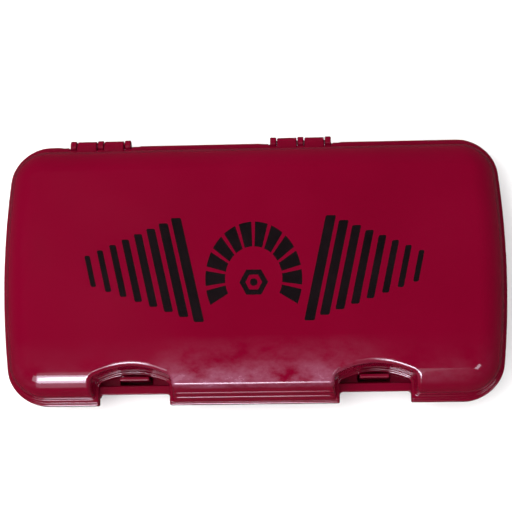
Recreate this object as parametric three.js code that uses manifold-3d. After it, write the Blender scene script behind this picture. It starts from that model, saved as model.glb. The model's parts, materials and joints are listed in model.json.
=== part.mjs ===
// Hinged two-shell case for a mouthguard, with the mouthguard lying in it.
// Millimetres, +Z up. The case rests on z = 0, its hinges face +Y and its latches face -Y.

import * as THREE from 'three';
import { mergeVertices } from 'three/addons/utils/BufferGeometryUtils.js';
import Module from 'manifold-3d';

const wasm = await Module();
wasm.setup();

// Case shells
const HALF_LENGTH = 75.5;
const HALF_DEPTH = 39.5;
const CASE_HEIGHT = 22;
const PARTING_Z = CASE_HEIGHT / 2;
const PARTING_GAP = 0.3;
const LID_FLOOR_Z = PARTING_Z + PARTING_GAP / 2;
const BASE_TOP_Z = PARTING_Z - PARTING_GAP / 2;
const CORNER_RADIUS = 10.7;
const SIDE_BOW_RADIUS = 260;
const WALL = 1.5;
const FLOOR = 1.8;
const FLANGE_THICKNESS = 1.5;
const FLANGE_AT_ENDS = 0.9;
const FLANGE_AT_FRONT = 1.7;
const FLANGE_LIP_WIDTH = 0.8;
const FLANGE_LIP_THICKNESS = 0.8;
const DRAFT = 0.13;
const LID_EDGE_RADIUS = 7;
const BASE_EDGE_RADIUS = 4;
const ROUND_SEGMENTS = 4;
const CURVE_SEGMENTS = 5;

// Finger notches, one at each side of the lift lip: x, half width, y where the arch springs, y of its crown
const NOTCH_IN_FLANGE = { x: 35.7, half: 10.6, spring: -33, crown: -30.6 };
const NOTCH_IN_WALL = { x: 35.7, half: 11.4, spring: -32.4, crown: -29.7 };
const NOTCH_CORNER = 1.5;
const NOTCH_SPREAD = 0.9;
const NOTCH_LEAN = 1.1;
const NOTCH_MOUTH_Y = -HALF_DEPTH - 6;

// Latch pockets in the base, below the notches
const POCKET_IN_FLANGE = { x: 35.7, half: 10.5, y: -36.2 };
const POCKET_IN_WALL = { x: 35.7, half: 11.1, y: -35.2 };

// Lift lip between the notches
const LIP_HALF_LENGTH = 25;
const LIP_CREST = { y: -34.4, z: 21.75 };
const LIP_FOOT = { y: -38.5, z: 13.1 };
const LIP_BACK_Y = -29;
const LIP_BACK_DROP = 0.05;
const LIP_EDGE_SETBACK = 0.9;
const LIP_TOE_DROP = 0.4;
const LIP_RIB = 0.9;
const LIP_RIB_HALF_LENGTH = 22.8;
const LIP_RIB_PLACES = [0.5, 0.77];

// Hinges
const HINGE_CENTRES = [['left', -46.4], ['right', 14.7]];
const HINGE_Y = HALF_DEPTH + 0.2;
const EAR_WIDTH = 1.9;
const EAR_RADIUS = 1.75;
const BARREL_WIDTH = 6;
const BARREL_RADIUS = 1.55;
const KNUCKLE_GAP = 0.2;
const SWING_CLEARANCE = 0.25;
const HINGE_ROOT_Y = HALF_DEPTH - 2.5;
const HINGE_ROOT_HEIGHT = 2;
const PIN_RADIUS = 0.7;
const BORE_RADIUS = 0.85;
const BORE_REACH = 12;
const PIN_LENGTH = 17.8;
const KNUCKLE_SIDES = 20;

// Latch tongues
const TONGUE_X = 35.4;
const TONGUE_WIDTH = 8.6;
const TONGUE_OUTER_Y = -32.4;
const TONGUE_INNER_Y = -31.6;
const TONGUE_NOSE_Y = -31.3;
const TONGUE_FOOT_Z = FLOOR + 0.5;
const TONGUE_NOSE_Z = 12.95;
const TONGUE_TOP_Z = 14.8;

// Shelf behind each pocket, which closes the notch off from the inside and has a slot for the tongue
const SHELF_HALF_LENGTH = 12.4;
const SHELF_BACK_Y = -28.8;
const SHELF_Z = [7.6, 8.8];
const SLOT_HALF_LENGTH = 4.8;
const SLOT_Y = [-33.3, -31];

// Ribs on the floor of the base that divide it into three bays
const DIVIDER_X = 38;
const DIVIDER_THICKNESS = 1.2;
const DIVIDER_TOP_Z = 8;
const DIVIDER_FRONT_Y = -30;

// Mouthguard: the arch is half an ellipse with straight legs, and its bands are measured from that line
const ARCH_RX = 25;
const ARCH_RY = 19;
const ARCH_Y = -1;
const LEG_END_Y = 13;
const GUARD_OUTER = 7;
const GUARD_INNER = 6;
const FRAME_WALL = 1.4;
const LINER_WALL = 1.6;
const PIECE_GAP = 0.3;
const GUARD_Z = FLOOR + 0.4;
const GUARD_FLOOR_TOP_Z = 5.6;
const LINER_FLOOR = 1.6;
const GUARD_FRONT_Z = 16.8;
const GUARD_BACK_Z = 12.5;
const RIM_MARGIN = 1;
const RIM_BACK_Y = LEG_END_Y + 10;
const LINER_RIM_DROP = 0.6;
const INNER_WALL_DROP = 3.5;
const PAD_HALF_WIDTH = 3.6;
const PAD_FRONT_Y = -1;
const PAD_BACK_Y = 11.5;
const PAD_RECESS = 0.2;
const FRENUM_RADIUS = 3;
const FRENUM_HEIGHT = 14;
const FRENUM_RISE = 0.5;
const FRENUM_SIDES = 24;

// Cutting bodies reach well past what they cut
const BEYOND = 12;
const CUT_MARGIN = 2;
const WIDE_X = [-HALF_LENGTH - BEYOND, HALF_LENGTH + BEYOND];
const WIDE_Y = [-HALF_DEPTH - BEYOND, HALF_DEPTH + BEYOND];

const plastic = new THREE.MeshStandardMaterial({ color: 0x820428, roughness: 0.22, metalness: 0 });
const tonguePlastic = new THREE.MeshStandardMaterial({ color: 0x82042a, roughness: 0.3, metalness: 0 });
const steel = new THREE.MeshStandardMaterial({ color: 0xb8babd, roughness: 0.35, metalness: 1 });
const frameRubber = new THREE.MeshStandardMaterial({ color: 0x17171a, roughness: 0.45, metalness: 0 });
const linerRubber = new THREE.MeshStandardMaterial({ color: 0xd9dadb, roughness: 0.4, metalness: 0 });
const padRubber = new THREE.MeshStandardMaterial({ color: 0x9c1230, roughness: 0.5, metalness: 0 });

// ---- Solids -------------------------------------------------------------------------------

function solid(geometry) {
  geometry.deleteAttribute('normal');
  geometry.deleteAttribute('uv');
  const merged = mergeVertices(geometry, 1e-4);
  return new wasm.Manifold(new wasm.Mesh({
    numProp: 3,
    vertProperties: merged.attributes.position.array,
    triVerts: new Uint32Array(merged.index.array),
  }));
}

function namedMesh(name, body, material) {
  const { vertProperties, triVerts } = body.getMesh();
  const geometry = new THREE.BufferGeometry();
  geometry.setAttribute('position', new THREE.BufferAttribute(vertProperties, 3));
  geometry.setIndex(new THREE.BufferAttribute(triVerts, 1));
  geometry.computeVertexNormals();
  const mesh = new THREE.Mesh(geometry, material);
  mesh.name = name;
  return mesh;
}

function joined(bodies) {
  return bodies.reduce((whole, body) => whole.add(body));
}

function box(x, y, z) {
  const geometry = new THREE.BoxGeometry(x[1] - x[0], y[1] - y[0], z[1] - z[0]);
  geometry.translate((x[0] + x[1]) / 2, (y[0] + y[1]) / 2, (z[0] + z[1]) / 2);
  return solid(geometry);
}

// A plate between two heights, from a shape in the XY plane.
function plate(shape, low, high, move = null) {
  const geometry = new THREE.ExtrudeGeometry(shape, {
    depth: high - low,
    bevelEnabled: false,
    curveSegments: CURVE_SEGMENTS,
  });
  geometry.translate(0, 0, low);
  if (move) {
    movePoints(geometry, move);
  }
  return solid(geometry);
}

function movePoints(geometry, move) {
  const points = geometry.attributes.position;
  const point = new THREE.Vector3();
  for (let i = 0; i < points.count; i += 1) {
    move(point.fromBufferAttribute(points, i));
    points.setXYZ(i, point.x, point.y, point.z);
  }
}

// A bar along X, from a profile of [y, z] points.
function bar(profile, x) {
  const shape = new THREE.Shape(profile.map(([y, z]) => new THREE.Vector2(y, z)));
  const geometry = new THREE.ExtrudeGeometry(shape, { depth: x[1] - x[0], bevelEnabled: false });
  geometry.rotateY(Math.PI / 2);
  geometry.rotateX(Math.PI / 2);
  geometry.translate(x[0], 0, 0);
  return solid(geometry);
}

function rod(radius, x, y, z, sides = KNUCKLE_SIDES) {
  const geometry = new THREE.CylinderGeometry(radius, radius, x[1] - x[0], sides);
  geometry.rotateZ(Math.PI / 2);
  geometry.translate((x[0] + x[1]) / 2, y, z);
  return solid(geometry);
}

function bothSides(make) {
  return joined([make(-1), make(1)]);
}

// ---- Case shells --------------------------------------------------------------------------

// Straight front and rear edges, slightly bowed ends and round corners, all tangent.
function caseOutline(halfLength, halfDepth, cornerRadius, bowRadius) {
  const bowX = halfLength - bowRadius;
  const cornerY = halfDepth - cornerRadius;
  const bend = Math.asin(cornerY / (bowRadius - cornerRadius));
  const cornerX = bowX + (bowRadius - cornerRadius) * Math.cos(bend);
  const quarter = Math.PI / 2;
  const shape = new THREE.Shape();
  shape.absarc(cornerX, -cornerY, cornerRadius, -quarter, -bend);
  shape.absarc(bowX, 0, bowRadius, -bend, bend);
  shape.absarc(cornerX, cornerY, cornerRadius, bend, quarter);
  shape.absarc(-cornerX, cornerY, cornerRadius, quarter, 2 * quarter - bend);
  shape.absarc(-bowX, 0, bowRadius, 2 * quarter - bend, 2 * quarter + bend);
  shape.absarc(-cornerX, -cornerY, cornerRadius, 2 * quarter + bend, 3 * quarter);
  return shape;
}

function flangeOutline(inset) {
  return caseOutline(
    HALF_LENGTH - inset,
    HALF_DEPTH - inset,
    CORNER_RADIUS - inset,
    SIDE_BOW_RADIUS - inset,
  );
}

// The body of a shell above or below the parting plane, leaning inwards by the draft, with rounded edges.
function shellBody(inset, low, high, edgeRadius) {
  const outline = caseOutline(
    HALF_LENGTH - FLANGE_AT_ENDS - inset,
    HALF_DEPTH - FLANGE_AT_FRONT - inset,
    CORNER_RADIUS - FLANGE_AT_ENDS - inset,
    SIDE_BOW_RADIUS - FLANGE_AT_ENDS - inset,
  );
  const geometry = new THREE.ExtrudeGeometry(outline, {
    depth: high - low - 2 * edgeRadius,
    bevelThickness: edgeRadius,
    bevelSize: edgeRadius,
    bevelOffset: -edgeRadius,
    bevelSegments: ROUND_SEGMENTS,
    curveSegments: CURVE_SEGMENTS,
  });
  geometry.translate(0, 0, low + edgeRadius);
  movePoints(geometry, (point) => {
    const lean = DRAFT * Math.abs(point.z - PARTING_Z);
    point.x *= 1 - lean / HALF_LENGTH;
    point.y *= 1 - lean / HALF_DEPTH;
  });
  return solid(geometry);
}

// A notch seen from above: straight sides from the front edge, round corners and a flat arch behind.
function archShape(side, notch, grow) {
  const x = side * notch.x;
  const half = notch.half + grow;
  const spring = notch.spring + grow;
  const crown = notch.crown + grow;
  const inner = half - NOTCH_CORNER;
  const shape = new THREE.Shape();
  shape.moveTo(x - half, NOTCH_MOUTH_Y);
  shape.lineTo(x + half, NOTCH_MOUTH_Y);
  shape.lineTo(x + half, spring - NOTCH_CORNER);
  shape.quadraticCurveTo(x + half, spring, x + inner, spring + NOTCH_CORNER / 4);
  shape.quadraticCurveTo(x, 2 * crown - spring, x - inner, spring + NOTCH_CORNER / 4);
  shape.quadraticCurveTo(x - half, spring, x - half, spring - NOTCH_CORNER);
  shape.closePath();
  return shape;
}

// The hollow of a notch through the lid's wall, which widens upwards.
function notchHollow(side, grow) {
  const low = PARTING_Z - CUT_MARGIN;
  const high = CASE_HEIGHT + CUT_MARGIN;
  const foot = PARTING_Z + FLANGE_THICKNESS;
  const rise = CASE_HEIGHT - foot;
  const x = side * NOTCH_IN_WALL.x;
  return plate(archShape(side, NOTCH_IN_WALL, grow), low, high, (point) => {
    const share = (point.z - foot) / rise;
    point.x = x + (point.x - x) * (1 + share * NOTCH_SPREAD / NOTCH_IN_WALL.half);
    point.y += share * NOTCH_LEAN;
  });
}

function pocketHollow(side, pocket, grow, z) {
  const x = side * pocket.x;
  const half = pocket.half + grow;
  return box([x - half, x + half], [NOTCH_MOUTH_Y, pocket.y + grow], z);
}

// Wedge-shaped lip with a crisp crest and two grip ribs on its slope.
function liftLip() {
  const foot = LIP_FOOT;
  const crest = LIP_CREST;
  const edge = -HALF_DEPTH + LIP_EDGE_SETBACK;
  const wedge = bar([
    [edge, LID_FLOOR_Z],
    [LIP_BACK_Y, LID_FLOOR_Z],
    [LIP_BACK_Y, CASE_HEIGHT - LIP_BACK_DROP],
    [crest.y, crest.z],
    [foot.y, foot.z],
    [edge, foot.z - LIP_TOE_DROP],
  ], [-LIP_HALF_LENGTH, LIP_HALF_LENGTH]);
  const slope = Math.atan2(crest.z - foot.z, crest.y - foot.y);
  const ribs = LIP_RIB_PLACES.map((place) => {
    const geometry = new THREE.BoxGeometry(2 * LIP_RIB_HALF_LENGTH, LIP_RIB, LIP_RIB);
    geometry.rotateX(slope);
    geometry.translate(
      0,
      THREE.MathUtils.lerp(crest.y, foot.y, place),
      THREE.MathUtils.lerp(crest.z, foot.z, place),
    );
    return solid(geometry);
  });
  return joined([wedge, ...ribs]);
}

// ---- Hinges -------------------------------------------------------------------------------

// Each hinge is ear, barrel, ear, barrel, ear. Ears belong to the base and barrels to the lid.
function knuckles(centre) {
  const widths = [EAR_WIDTH, BARREL_WIDTH, EAR_WIDTH, BARREL_WIDTH, EAR_WIDTH];
  const length = widths.reduce((sum, width) => sum + width, 0) + 4 * KNUCKLE_GAP;
  let x = centre - length / 2;
  return widths.map((width, index) => {
    const span = [x, x + width];
    x += width + KNUCKLE_GAP;
    return { span, isEar: index % 2 === 0 };
  });
}

const ALL_KNUCKLES = HINGE_CENTRES.flatMap(([, centre]) => knuckles(centre));
const EARS = ALL_KNUCKLES.filter((knuckle) => knuckle.isEar);
const BARRELS = ALL_KNUCKLES.filter((knuckle) => !knuckle.isEar);

function knuckleBodies(list, radius, rootZ) {
  return list.map(({ span }) => rod(radius, span, HINGE_Y, PARTING_Z)
    .add(box(span, [HINGE_ROOT_Y, HINGE_Y], rootZ)));
}

function swingSpace(list, radius) {
  const clear = radius + SWING_CLEARANCE;
  return joined(list.map(({ span }) => {
    const wide = [span[0] - KNUCKLE_GAP, span[1] + KNUCKLE_GAP];
    const behind = box(wide, [HINGE_Y, HINGE_Y + clear], [PARTING_Z - clear, PARTING_Z + clear]);
    return rod(clear, wide, HINGE_Y, PARTING_Z).add(behind);
  }));
}

function bores() {
  return joined(HINGE_CENTRES.map(([, centre]) => (
    rod(BORE_RADIUS, [centre - BORE_REACH, centre + BORE_REACH], HINGE_Y, PARTING_Z)
  )));
}

function hingePin(centre) {
  return rod(PIN_RADIUS, [centre - PIN_LENGTH / 2, centre + PIN_LENGTH / 2], HINGE_Y, PARTING_Z);
}

// ---- Lid and base -------------------------------------------------------------------------

function caseLid() {
  const skin = shellBody(0, PARTING_Z - BEYOND, CASE_HEIGHT, LID_EDGE_RADIUS)
    .add(liftLip())
    .subtract(bothSides((side) => notchHollow(side, 0)));
  const flange = plate(flangeOutline(0), LID_FLOOR_Z, LID_FLOOR_Z + FLANGE_LIP_THICKNESS)
    .add(plate(flangeOutline(FLANGE_LIP_WIDTH), LID_FLOOR_Z, LID_FLOOR_Z + FLANGE_THICKNESS))
    .subtract(bothSides((side) => (
      plate(archShape(side, NOTCH_IN_FLANGE, 0), PARTING_Z - CUT_MARGIN, CASE_HEIGHT)
    )));
  const hollow = shellBody(WALL, PARTING_Z - BEYOND, CASE_HEIGHT - WALL, LID_EDGE_RADIUS - WALL)
    .subtract(bothSides((side) => notchHollow(side, WALL)));
  const below = box(WIDE_X, WIDE_Y, [PARTING_Z - 2 * BEYOND, LID_FLOOR_Z]);
  const barrels = knuckleBodies(BARRELS, BARREL_RADIUS, [LID_FLOOR_Z, LID_FLOOR_Z + HINGE_ROOT_HEIGHT]);
  return joined([skin.add(flange).subtract(hollow).subtract(below), ...barrels])
    .subtract(swingSpace(EARS, EAR_RADIUS))
    .subtract(bores());
}

function latchShelf(side) {
  const x = side * POCKET_IN_WALL.x;
  const slotX = side * TONGUE_X;
  const root = POCKET_IN_WALL.y + WALL / 2;
  return box([x - SHELF_HALF_LENGTH, x + SHELF_HALF_LENGTH], [root, SHELF_BACK_Y], SHELF_Z)
    .subtract(box([slotX - SLOT_HALF_LENGTH, slotX + SLOT_HALF_LENGTH], SLOT_Y, [0, PARTING_Z]));
}

function caseBase() {
  const pocketZ = [-CUT_MARGIN, PARTING_Z + CUT_MARGIN];
  const body = shellBody(0, 0, PARTING_Z + BEYOND, BASE_EDGE_RADIUS);
  const skin = body.subtract(bothSides((side) => pocketHollow(side, POCKET_IN_WALL, 0, pocketZ)));
  const flange = plate(flangeOutline(0), BASE_TOP_Z - FLANGE_THICKNESS, BASE_TOP_Z)
    .subtract(bothSides((side) => pocketHollow(side, POCKET_IN_FLANGE, 0, pocketZ)));
  const hollow = shellBody(WALL, FLOOR, PARTING_Z + BEYOND, BASE_EDGE_RADIUS - WALL)
    .subtract(bothSides((side) => pocketHollow(side, POCKET_IN_WALL, WALL, [0, PARTING_Z + BEYOND])));
  const above = box(WIDE_X, WIDE_Y, [BASE_TOP_Z, PARTING_Z + 2 * BEYOND]);
  const dividers = [-1, 1].map((side) => {
    const half = DIVIDER_THICKNESS / 2;
    const x = side * DIVIDER_X;
    const rearY = HALF_DEPTH - FLANGE_AT_FRONT - WALL;
    return box([x - half, x + half], [DIVIDER_FRONT_Y, rearY], [FLOOR / 2, DIVIDER_TOP_Z]).intersect(body);
  });
  const ears = knuckleBodies(EARS, EAR_RADIUS, [BASE_TOP_Z - HINGE_ROOT_HEIGHT, BASE_TOP_Z]);
  const shell = skin.add(flange).subtract(hollow).subtract(above);
  return joined([shell, bothSides(latchShelf), ...dividers, ...ears])
    .subtract(swingSpace(BARRELS, BARREL_RADIUS))
    .subtract(bores());
}

// Upright leaf with a small hook that stands in front of the edge of the lid's notch.
function latchTongue(side) {
  const x = side * TONGUE_X;
  const nose = TONGUE_NOSE_Y - TONGUE_INNER_Y;
  return bar([
    [TONGUE_OUTER_Y, TONGUE_FOOT_Z],
    [TONGUE_INNER_Y, TONGUE_FOOT_Z],
    [TONGUE_INNER_Y, TONGUE_NOSE_Z],
    [TONGUE_NOSE_Y, TONGUE_NOSE_Z + nose],
    [TONGUE_NOSE_Y, TONGUE_TOP_Z - nose],
    [TONGUE_INNER_Y, TONGUE_TOP_Z],
    [TONGUE_OUTER_Y, TONGUE_TOP_Z],
  ], [x - TONGUE_WIDTH / 2, x + TONGUE_WIDTH / 2]);
}

// ---- Mouthguard ---------------------------------------------------------------------------

// Horseshoe band between two distances from the arch line, with round leg ends.
function archBand(outer, inner) {
  const middle = ARCH_RX + (outer - inner) / 2;
  const endRadius = (outer + inner) / 2;
  const shape = new THREE.Shape();
  shape.absellipse(0, ARCH_Y, ARCH_RX + outer, ARCH_RY + outer, Math.PI, 2 * Math.PI);
  shape.absarc(middle, LEG_END_Y, endRadius, 0, Math.PI);
  shape.absellipse(0, ARCH_Y, ARCH_RX - inner, ARCH_RY - inner, 2 * Math.PI, Math.PI, true);
  shape.absarc(-middle, LEG_END_Y, endRadius, 0, Math.PI);
  shape.closePath();
  return shape;
}

// The guard's rim falls from the front teeth to the back ones, and dips at the middle for the lip.
function rimCut(drop) {
  const front = ARCH_Y - ARCH_RY - GUARD_OUTER - RIM_MARGIN;
  const slope = bar([
    [front, GUARD_FRONT_Z - drop],
    [RIM_BACK_Y, GUARD_BACK_Z - drop],
    [RIM_BACK_Y, CASE_HEIGHT],
    [front, CASE_HEIGHT],
  ], WIDE_X);
  const dip = new THREE.CylinderGeometry(FRENUM_RADIUS, FRENUM_RADIUS, FRENUM_HEIGHT, FRENUM_SIDES);
  dip.translate(0, front, GUARD_FRONT_Z + FRENUM_RISE);
  return slope.add(solid(dip));
}

function padShape(side, grow) {
  const half = PAD_HALF_WIDTH + grow;
  const x = side * ARCH_RX;
  const shape = new THREE.Shape();
  shape.absarc(x, PAD_FRONT_Y, half, Math.PI, 2 * Math.PI);
  shape.absarc(x, PAD_BACK_Y, half, 0, Math.PI);
  shape.closePath();
  return shape;
}

function guardFrame() {
  const floor = plate(archBand(GUARD_OUTER, GUARD_INNER), GUARD_Z, GUARD_FLOOR_TOP_Z);
  const wall = plate(archBand(GUARD_OUTER, FRAME_WALL - GUARD_OUTER), GUARD_Z, GUARD_FRONT_Z);
  const windows = bothSides((side) => (
    plate(padShape(side, PIECE_GAP), GUARD_Z - CUT_MARGIN, GUARD_FLOOR_TOP_Z + CUT_MARGIN)
  ));
  return floor.add(wall).subtract(windows).subtract(rimCut(0));
}

function guardLiner() {
  const outer = GUARD_OUTER - FRAME_WALL - PIECE_GAP;
  const low = GUARD_FLOOR_TOP_Z + PIECE_GAP;
  const channelOuter = outer - LINER_WALL;
  const channelInner = GUARD_INNER - LINER_WALL;
  const innerHalf = plate(archBand(0, 2 * GUARD_INNER), low, CASE_HEIGHT);
  return plate(archBand(outer, GUARD_INNER), low, GUARD_FRONT_Z)
    .subtract(plate(archBand(channelOuter, channelInner), low + LINER_FLOOR, CASE_HEIGHT))
    .subtract(rimCut(LINER_RIM_DROP))
    .subtract(rimCut(INNER_WALL_DROP).intersect(innerHalf));
}

function bitePad(side) {
  return plate(padShape(side, 0), GUARD_Z + PAD_RECESS, GUARD_FLOOR_TOP_Z);
}

// ---- Assembly -----------------------------------------------------------------------------

const group = new THREE.Group();
group.add(namedMesh('case_base', caseBase(), plastic));
group.add(namedMesh('case_lid', caseLid(), plastic));
for (const [name, centre] of HINGE_CENTRES) {
  group.add(namedMesh(`hinge_pin_${name}`, hingePin(centre), steel));
}
for (const [name, side] of [['left', -1], ['right', 1]]) {
  group.add(namedMesh(`latch_tongue_${name}`, latchTongue(side), tonguePlastic));
  group.add(namedMesh(`bite_pad_${name}`, bitePad(side), padRubber));
}
group.add(namedMesh('mouthguard_frame', guardFrame(), frameRubber));
group.add(namedMesh('mouthguard_liner', guardLiner(), linerRubber));

export default group;
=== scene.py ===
"""Looks of a hinged mouthguard case: crimson shells, hinges, snap tongues and the mouthguard inside."""

import json
import math

import bpy
import numpy as np
from mathutils import Matrix, Vector


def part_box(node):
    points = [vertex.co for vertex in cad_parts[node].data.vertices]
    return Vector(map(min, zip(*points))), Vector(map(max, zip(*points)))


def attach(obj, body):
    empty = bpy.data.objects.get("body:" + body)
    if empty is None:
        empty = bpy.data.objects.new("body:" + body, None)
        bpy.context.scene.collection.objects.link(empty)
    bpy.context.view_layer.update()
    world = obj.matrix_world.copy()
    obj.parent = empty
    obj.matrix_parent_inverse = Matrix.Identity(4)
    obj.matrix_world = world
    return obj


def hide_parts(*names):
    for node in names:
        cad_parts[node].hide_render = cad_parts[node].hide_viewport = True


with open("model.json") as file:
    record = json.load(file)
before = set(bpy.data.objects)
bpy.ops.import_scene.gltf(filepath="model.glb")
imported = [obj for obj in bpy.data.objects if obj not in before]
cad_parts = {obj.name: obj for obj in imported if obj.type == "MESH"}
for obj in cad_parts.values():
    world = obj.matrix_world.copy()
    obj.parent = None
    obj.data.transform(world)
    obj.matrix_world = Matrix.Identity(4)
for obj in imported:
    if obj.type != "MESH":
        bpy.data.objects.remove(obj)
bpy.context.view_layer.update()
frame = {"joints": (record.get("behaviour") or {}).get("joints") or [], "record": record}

# ---- Sizes, in millimetres: boxes and hinge from the frame, and the design's own values --------

MM = 0.001
BODY_OF = {node: body for body, nodes in frame["record"]["behaviour"]["bodies"].items() for node in nodes}


def box_mm(node):
    """Lowest and highest corner of a CAD node, in millimetres."""
    low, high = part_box(node)
    return np.array(low) / MM, np.array(high) / MM


LID_LOW, LID_HIGH = box_mm("case_lid")
HINGE_POINT = np.array(next(j for j in frame["joints"] if j["name"] == "lid_hinge")["pos_m"]) / MM
HALF_LENGTH = LID_HIGH[0]
HALF_DEPTH = -LID_LOW[1]
FRONT = -HALF_DEPTH
TOP = LID_HIGH[2]
HINGE_Y = HINGE_POINT[1]
PARTING = HINGE_POINT[2]
SEAM = 0.15
CORNER = 10.7
SIDE_BOW = 260
WALL = 1.5
FLOOR = 1.8
DRAFT = 0.13
FLANGE_ENDS = 0.9
FLANGE_SIDES = 1.7
FLANGE_THICK = 1.5
FLANGE_LIP = 0.8
LID_ROUND = 7
BASE_ROUND = 4
EAR_RADIUS = 1.75
BARREL_RADIUS = 1.55
KNUCKLE_GAP = 0.2
ROOT_HEIGHT = 2
ROOT_Y = HALF_DEPTH - 2.5
EAR_WIDTH = 1.9
BARREL_WIDTH = 6
SWING_ROOM = 0.25
SWING_DEPTH = 4
SWING_HALF_HEIGHT = 2
SWING_ROUND = 0.12
BORE = 0.85
BORE_HALF_LENGTH = 12
PIN_BOXES = {side: box_mm(f"hinge_pin_{side}") for side in ("left", "right")}
HINGE_CENTRES = [float(low[0] + high[0]) / 2 for low, high in PIN_BOXES.values()]
NOTCH_X = 35.7
TONGUE_X = float(sum(box[0] for box in box_mm("latch_tongue_right"))) / 2

# Radii of edges and inner corners, from the crispest to the roundest.
KEEN = 0.05
CRISP = 0.1
SLIGHT = 0.2
EDGE_ROUND = 0.25
FILLET = 0.3
SOFT = 0.4
INNER_ROUND = 0.5
RIM_ROUND = 1.2


# ---- Solids as distance fields ---------------------------------------------------------------
# A field is negative inside its solid. Where it meets another field the edge gets a true radius.


def cut_both(a, b, radius):
    """What is inside both fields, with a round outer edge."""
    corner = np.hypot(np.maximum(a + radius, 0), np.maximum(b + radius, 0))
    return np.minimum(np.maximum(a, b), -radius) + corner


def merge(a, b, radius):
    """What is inside either field, with a filleted inner corner."""
    corner = np.hypot(np.maximum(radius - a, 0), np.maximum(radius - b, 0))
    return np.maximum(np.minimum(a, b), radius) - corner


def carve(a, b, radius):
    """Field a without field b."""
    return cut_both(a, -b, radius)


def block(x, y, z, low, high, radius):
    """A box with round edges."""
    across = [np.abs(p - (l + h) / 2) - (h - l) / 2 for p, l, h in zip((x, y, z), low, high)]
    return cut_both(cut_both(across[0], across[1], radius), across[2], radius)


def outline(x, y, inset_ends, inset_sides):
    """Plan distance to the case's outline: straight front and rear, bowed ends and round corners."""
    corner = CORNER - inset_ends
    bow = SIDE_BOW - inset_ends
    half_length = HALF_LENGTH - inset_ends
    ends = np.hypot(np.abs(x) - (half_length - bow), y) - (bow - corner)
    sides = np.abs(y) - (HALF_DEPTH - inset_sides - corner)
    beyond = np.hypot(np.maximum(ends, 0), np.maximum(sides, 0))
    return beyond + np.minimum(np.maximum(ends, sides), 0) - corner


def arch_hollow(x, y, half, spring, crown):
    """Plan distance to the notches, which are open to the front and have a flat arch behind."""
    across = np.abs(x) - NOTCH_X
    share = np.clip(np.abs(across) / half, 0, 1)
    rise = crown - spring
    arch = crown - rise * share**2
    slope = 2 * rise * share / half
    return cut_both(np.abs(across) - half, (y - arch) / np.hypot(1, slope), NOTCH_CORNER)


def rod_field(x, y, z, span, radius, edge):
    """A rod on the hinge axis with rounded ends."""
    ends = np.abs(x - (span[0] + span[1]) / 2) - (span[1] - span[0]) / 2
    return cut_both(np.hypot(y - HINGE_Y, z - PARTING) - radius, ends, edge)


# ---- From a field to a mesh ------------------------------------------------------------------

CELL_CORNERS = [(i, j, k) for i in (0, 1) for j in (0, 1) for k in (0, 1)]


def lines(*stops):
    """Grid lines through (place, spacing that follows) stops, ending at the last place."""
    parts = []
    for (start, cell), (end, _) in zip(stops, stops[1:]):
        count = max(1, round((end - start) / cell))
        parts.append(np.linspace(start, end, count, endpoint=False))
    return np.append(np.concatenate(parts), stops[-1][0])


def even_grid(low, high, cell, margin):
    """Evenly spaced grid lines round a box."""
    return [lines((low[n] - margin, cell), (high[n] + margin, cell)) for n in range(3)]


def gradient(field, points, step=0.01):
    """Direction in which the field grows, at each point."""
    x, y, z = points.T
    rise = [field(x + step, y, z) - field(x - step, y, z),
            field(x, y + step, z) - field(x, y - step, z),
            field(x, y, z + step) - field(x, y, z - step)]
    return np.stack(rise, axis=1) / (2 * step)


def onto_surface(field, points, rounds=5, reach=0.25, least_slope=0.5):
    """Points moved onto the field's zero surface."""
    for _ in range(rounds):
        slope = gradient(field, points)
        value = field(*points.T)
        size = np.maximum((slope**2).sum(1), least_slope**2)
        points = points - np.clip(value / size, -reach, reach)[:, None] * slope
    return points


def crossing_points(values, axes, cell):
    """Mean of the places where each grid cell's edges cross the surface."""
    total = np.zeros((len(cell), 3))
    crossings = np.zeros(len(cell))
    edges = [(a, axis) for a in CELL_CORNERS for axis in range(3) if not a[axis]]
    for a, axis in edges:
        b = tuple(1 if n == axis else v for n, v in enumerate(a))
        ia, ib = cell + a, cell + b
        va, vb = values[tuple(ia.T)], values[tuple(ib.T)]
        hit = (va < 0) != (vb < 0)
        share = np.where(hit, va / np.where(hit, va - vb, 1), 0)
        pa = np.stack([axes[n][ia[:, n]] for n in range(3)], 1)
        pb = np.stack([axes[n][ib[:, n]] for n in range(3)], 1)
        total += np.where(hit[:, None], pa + share[:, None] * (pb - pa), 0)
        crossings += hit
    return total / crossings[:, None]


def quads_across(inside, number, axis):
    """A quad round each grid edge along one axis that crosses the surface, through its four cells."""
    u, v = (axis + 1) % 3, (axis + 2) % 3
    cells = number.shape
    first = [slice(1, n) for n in cells]
    first[axis] = slice(0, cells[axis])
    second = list(first)
    second[axis] = slice(1, cells[axis] + 1)
    a, b = inside[tuple(first)], inside[tuple(second)]
    place = np.argwhere(a != b)
    leaving = (a & ~b)[tuple(place.T)]
    place = place + [0 if n == axis else 1 for n in range(3)]
    around = []
    for du, dv in ((-1, -1), (0, -1), (0, 0), (-1, 0)):
        at = place.copy()
        at[:, u] += du
        at[:, v] += dv
        around.append(number[tuple(at.T)])
    quad = np.stack(around, 1)
    return np.where(leaving[:, None], quad, quad[:, ::-1])


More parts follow.
